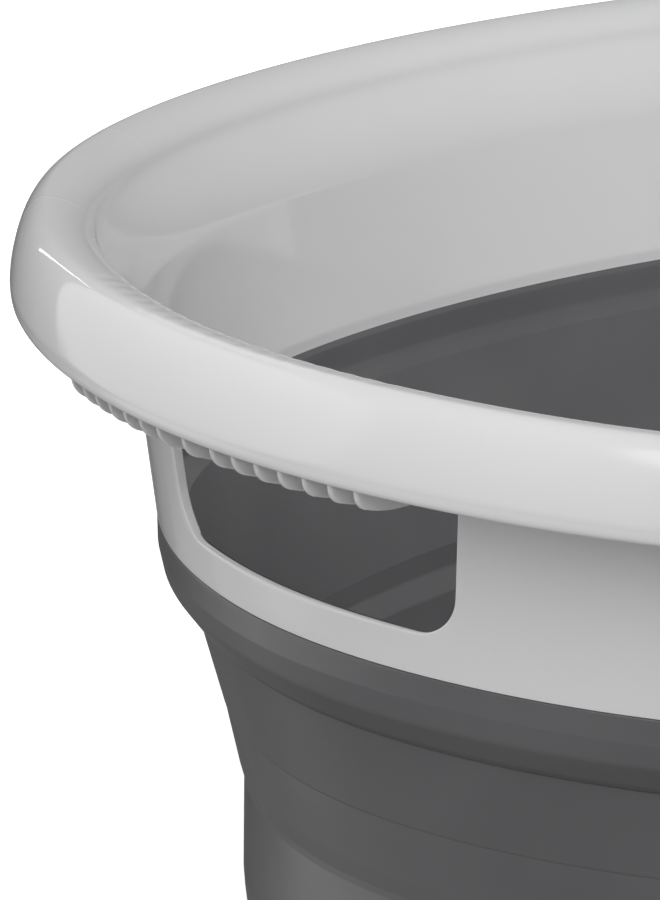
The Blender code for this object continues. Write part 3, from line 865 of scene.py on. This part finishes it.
def make_drain():
    """The drain's rubber seat and the plug with its pull knob."""
    centre = (DRAIN_X, 0.0, 0.0)
    low, high = (c.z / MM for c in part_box("drain_seat"))
    seat = rounded([(11.0, low, 0.4), (14.6, low, 0.4), (14.6, high - 1.8, 0.2), (19.0, high - 1.8, 0.2),
                    (18.8, high - 0.7, 0.7), (16.6, high, 0.5), (15.8, high - 0.4, 0.3), (15.2, high, 0.4),
                    (11.0, high, 0.6)], 3)
    seat_ring = turned("drain_seat_ring", seat, centre, DRAIN, hollow=True)
    take(seat_ring, "base", "drain_rubber", "drain_seat")
    base = high + 0.3
    plug = [(0.6, low + 0.6), (8.8, low + 0.6), (9.4, low + 1.0), (10.2, high - 0.6), (10.45, base),
            (13.9, base), (14.4, base + 0.4), (14.5, base + 1.2), (14.2, base + 2.0), (13.4, base + 2.5),
            (12.2, base + 2.65), (11.6, base + 2.3), (10.6, base + 2.3), (10.0, base + 2.7),
            (5.0, base + 2.9), (3.9, base + 3.3), (3.2, base + 4.6), (3.0, base + 6.2), (3.5, base + 7.6),
            (4.9, base + 8.4), (5.9, base + 9.2), (6.1, base + 10.2), (5.6, base + 11.2),
            (4.2, base + 12.0), (2.0, base + 12.35), (0.6, base + 12.4)]
    take(turned("drain_plug_knob", plug, centre, DRAIN), "drain_plug", "drain_rubber", "drain_plug")


# ------------------------------------------------------------------------------------------
# massage rollers
# ------------------------------------------------------------------------------------------
RAIL_WIDTH = 5.6
RAIL_CORNERS = (6.0, 2.6)          # outer and inner corner radius of the frame
END_DROP = 7.2                     # how far the frame's ends slope down, over END_SLOPE
END_SLOPE = 4.0


def rounded_box_loop(half_x, half_y, radius):
    """Points on a rectangle with rounded corners, seven on each corner."""
    loop = []
    for cx, cy, start in ((1, -1, -90), (1, 1, 0), (-1, 1, 90), (-1, -1, 180)):
        for k in range(7):
            t = math.radians(start + 90 * k / 6)
            x, y = radius * math.cos(t), radius * math.sin(t)
            loop.append((cx * (half_x - radius) + x, cy * (half_y - radius) + y))
    return np.array(loop)


def make_frame(side):
    """The rails around four rollers and, on their outer faces, the bosses of the axles."""
    node = f"roller_frame_{side}"
    low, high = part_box(node)
    centre_y = (low.y + high.y) / 2 / MM
    half_x, half_y = (high.x - low.x) / 2 / MM, (high.y - low.y) / 2 / MM
    bottom, top = low.z / MM, high.z / MM
    outer = rounded_box_loop(half_x, half_y, RAIL_CORNERS[0])
    inner = rounded_box_loop(half_x - RAIL_WIDTH, half_y - RAIL_WIDTH, RAIL_CORNERS[1])
    profile = [(0.0, bottom), (0.0, top - 1.0), (0.03, top - 0.5), (0.09, top - 0.15), (0.18, top),
               (0.36, top), (0.39, top - 0.12), (0.41, top - 0.45), (0.59, top - 0.45), (0.61, top - 0.12),
               (0.64, top), (0.76, top), (0.87, top - 0.15), (0.96, top - 0.55), (1.0, top - 1.2),
               (1.0, bottom + 0.5), (0.93, bottom)]
    shell = Shell()
    rows = []
    for share, height in profile:
        flat = inner * (1 - share) + outer * share
        drop = np.clip((abs(flat[:, 0]) - (half_x - END_SLOPE)) / END_SLOPE, 0, 1) ** 1.4 * END_DROP
        z = np.minimum(height, top - drop - 0.02 * (top - height))
        z = np.maximum(z, bottom) if height > bottom + 1 else np.full(len(flat), height)
        rows.append(shell.add(np.column_stack([flat[:, 0] * MM, (flat[:, 1] + centre_y) * MM, z * MM])))
    shell.skin(rows, closed=True)
    take(shell.make(f"frame_rails_{side}", SATIN, 42.0), "base", "base_plastic", node)
    boss = ((4.4, -1.0), (4.4, 0.35), (4.1, 0.62), (3.4, 0.7), (2.6, 0.7), (2.4, 0.35), (2.3, -1.0))
    turn = np.linspace(0, 2 * math.pi, 28, endpoint=False)
    bosses = Shell()
    for number in range(1, 5):
        axle_low, axle_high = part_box(f"axle_{side}_{number}")
        x, z = (axle_low.x + axle_high.x) / 2 / MM, (axle_low.z + axle_high.z) / 2 / MM
        for sign in (-1, 1):
            loops = []
            for radius, out in boss:
                y = np.full(len(turn), centre_y + sign * half_y + sign * out)
                loops.append(bosses.add(np.column_stack([x + radius * np.cos(turn), y,
                                                         z + radius * np.sin(turn)]) * MM))
            bosses.skin(loops, closed=True)
    take(bosses.make(f"axle_bosses_{side}", SATIN), "base", "base_plastic")


def roller_mesh():
    """A massage roller about the Y axis: a bored core with staggered round knobs."""
    length, core, tip, bore = 66.0, 9.5, 11.9, 2.55
    rings, knobs, knob_radius = 9, 8, 3.05
    around, across = 72, 79
    half = length / 2
    pitch = (length - 5.0) / rings
    turn = np.linspace(0, 2 * math.pi, around, endpoint=False)
    rows = []
    for y in np.linspace(-half + 1.2, half - 1.2, across):
        radius = np.full(around, core)
        for ring in range(rings):
            centre = -half + 2.5 + (ring + 0.5) * pitch
            if abs(y - centre) > knob_radius:
                continue
            for knob in range(knobs):
                at = 2 * math.pi * (knob + 0.5 * (ring % 2)) / knobs
                away = (turn - at + math.pi) % (2 * math.pi) - math.pi
                d = np.hypot(away * core, y - centre) / knob_radius
                radius = np.maximum(radius, core + (tip - core) * np.clip(1 - d ** 2, 0, 1) ** 0.62)
        rows.append((radius, y))
    end = [(core - 0.25, half - 0.45), (core - 0.9, half), (7.4, half), (7.0, half - 0.5), (4.6, half - 0.5),
           (4.2, half), (bore + 0.3, half), (bore, half - 0.3)]
    shell = Shell()
    loops = []
    for radius, y in [(r, -y) for r, y in end[::-1]] + rows + end:
        loops.append(shell.add(np.column_stack([radius * np.cos(turn) * MM, np.full(around, y * MM),
                                                radius * np.sin(turn) * MM])))
    shell.skin(loops, closed=True)
    return shell


def make_rollers():
    """Both frames, the eight rollers, which share one mesh, and the steel of the CAD axles."""
    mesh = None
    for side in ("left", "right"):
        make_frame(side)
        for number in range(1, 5):
            node = f"roller_{side}_{number}"
            if mesh is None:
                piece = roller_mesh().make(f"knobbed_{node}", ROLLER, 60.0)
                mesh = piece.data
            else:
                piece = bpy.data.objects.new(f"knobbed_{node}", mesh)
                bpy.context.scene.collection.objects.link(piece)
            low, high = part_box(node)
            piece.location = (low + high) / 2
            take(piece, node, "roller_plastic", node)
            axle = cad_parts[f"axle_{side}_{number}"]
            for material_slot in axle.material_slots:
                material_slot.material = STEEL


# ------------------------------------------------------------------------------------------
# studio
# ------------------------------------------------------------------------------------------
def make_camera():
    """The photo's camera; roll turns its picture about the line of sight."""
    data = bpy.data.cameras.new("camera")
    data.sensor_width = 36.0
    data.lens = CAMERA_LENS
    data.clip_start, data.clip_end = 0.05, 60.0
    cam = bpy.data.objects.new("camera", data)
    bpy.context.scene.collection.objects.link(cam)
    flat = math.cos(CAMERA_PITCH)
    forward = Vector((math.sin(CAMERA_YAW) * flat, math.cos(CAMERA_YAW) * flat, math.sin(CAMERA_PITCH)))
    right = Vector((math.cos(CAMERA_YAW), -math.sin(CAMERA_YAW), 0.0))
    up = right.cross(forward)
    x_axis = right * math.cos(CAMERA_ROLL) + up * math.sin(CAMERA_ROLL)
    y_axis = up * math.cos(CAMERA_ROLL) - right * math.sin(CAMERA_ROLL)
    turn = Matrix((x_axis, y_axis, -forward)).transposed().to_4x4()
    cam.matrix_world = Matrix.Translation(CAMERA_PLACE) @ turn
    bpy.context.scene.camera = cam


def sky(world):
    """Light by direction: a soft box, a patch with one crisp edge, a thin lamp, an overhead band on
    the dark side, even light that is stronger on the lit halves, and a faint glow from below."""
    nodes, links = world.node_tree.nodes, world.node_tree.links
    way = nodes.new("ShaderNodeTexCoord").outputs["Generated"]

    def towards(aim, fade):
        """0 to 1 as the view direction turns towards an aim."""
        azimuth, elevation = aim
        a, e = math.radians(azimuth), math.radians(elevation)
        dot = nodes.new("ShaderNodeVectorMath")
        dot.operation = "DOT_PRODUCT"
        dot.inputs[1].default_value = (math.cos(e) * math.cos(a), math.cos(e) * math.sin(a), math.sin(e))
        links.new(way, dot.inputs[0])
        span = nodes.new("ShaderNodeMapRange")
        span.interpolation_type = "SMOOTHSTEP"
        span.inputs["From Min"].default_value = fade[0]
        span.inputs["From Max"].default_value = fade[1]
        links.new(dot.outputs["Value"], span.inputs["Value"])
        return span.outputs["Result"]

    def combine(operation, a, b):
        """One arithmetic step on two values, each a number or the output of a node."""
        node = nodes.new("ShaderNodeMath")
        node.operation = operation
        for socket, value in zip(node.inputs, (a, b)):
            if isinstance(value, float):
                socket.default_value = value
            else:
                links.new(value, socket)
        return node.outputs["Value"]

    open_side = towards(OPEN_AIM, OPEN_FADE)
    side = combine("MULTIPLY", towards(SIDE_AIM, SIDE_FADE), open_side)
    key = combine("MULTIPLY", towards(KEY_AIM, KEY_FADE), KEY_LIGHT)
    bright = combine("MAXIMUM", combine("MULTIPLY", side, SIDE_LIGHT), key)
    lit = combine("MAXIMUM", open_side, towards(FRONT_AIM, FRONT_FADE))
    around = combine("ADD", combine("MULTIPLY", lit, AROUND_LIGHT), DARK_LIGHT)
    over = combine("MULTIPLY", towards(UP, OVER_FADE), OVER_LIGHT)
    over = combine("MULTIPLY", over, towards(DOWN, OVER_HOLE))
    over = combine("MULTIPLY", over, combine("SUBTRACT", 1.0, lit))
    table = combine("MULTIPLY", towards(DOWN, TABLE_FADE), TABLE_LIGHT)
    above = towards(STRIP_PLANE, (-STRIP_HALF, 0.0))
    slit = combine("MULTIPLY", above, towards(STRIP_PLANE, (STRIP_HALF, 0.0)))
    strip = combine("MULTIPLY", combine("MULTIPLY", slit, towards(STRIP_AIM, STRIP_FADE)), STRIP_LIGHT)
    total = combine("ADD", combine("ADD", bright, around), combine("ADD", combine("ADD", over, strip), table))
    links.new(total, nodes["Background"].inputs["Strength"])
    nodes["Background"].inputs["Color"].default_value = (1.0, 1.0, 1.0, 1.0)


def make_studio():
    """The sky and a pale glowing floor that adds no light to the part."""
    world = bpy.data.worlds.new("studio")
    bpy.context.scene.world = world
    world.use_nodes = True
    sky(world)
    bpy.ops.mesh.primitive_plane_add(size=FLOOR_SIZE, location=(0, 0, -FLOOR_DROP))
    floor = bpy.context.object
    floor.name = "floor"
    paint = Paint("pale_floor", 0.7, specular=0.2)
    paint.colour(paint.noise(0.8), (0.90, 0.90, 0.90), (0.92, 0.92, 0.92))
    paint.set(Emission_Color=(1.0, 1.0, 1.0, 1.0), Emission_Strength=FLOOR_GLOW)
    floor.data.materials.append(paint.mat)
    floor.visible_glossy = False
    floor.visible_diffuse = False
    bpy.context.scene.view_settings.view_transform = "Standard"


make_camera()
make_collar()
make_sleeve()
make_base()
make_nubs()
make_feet()
make_drain()
make_rollers()
make_studio()
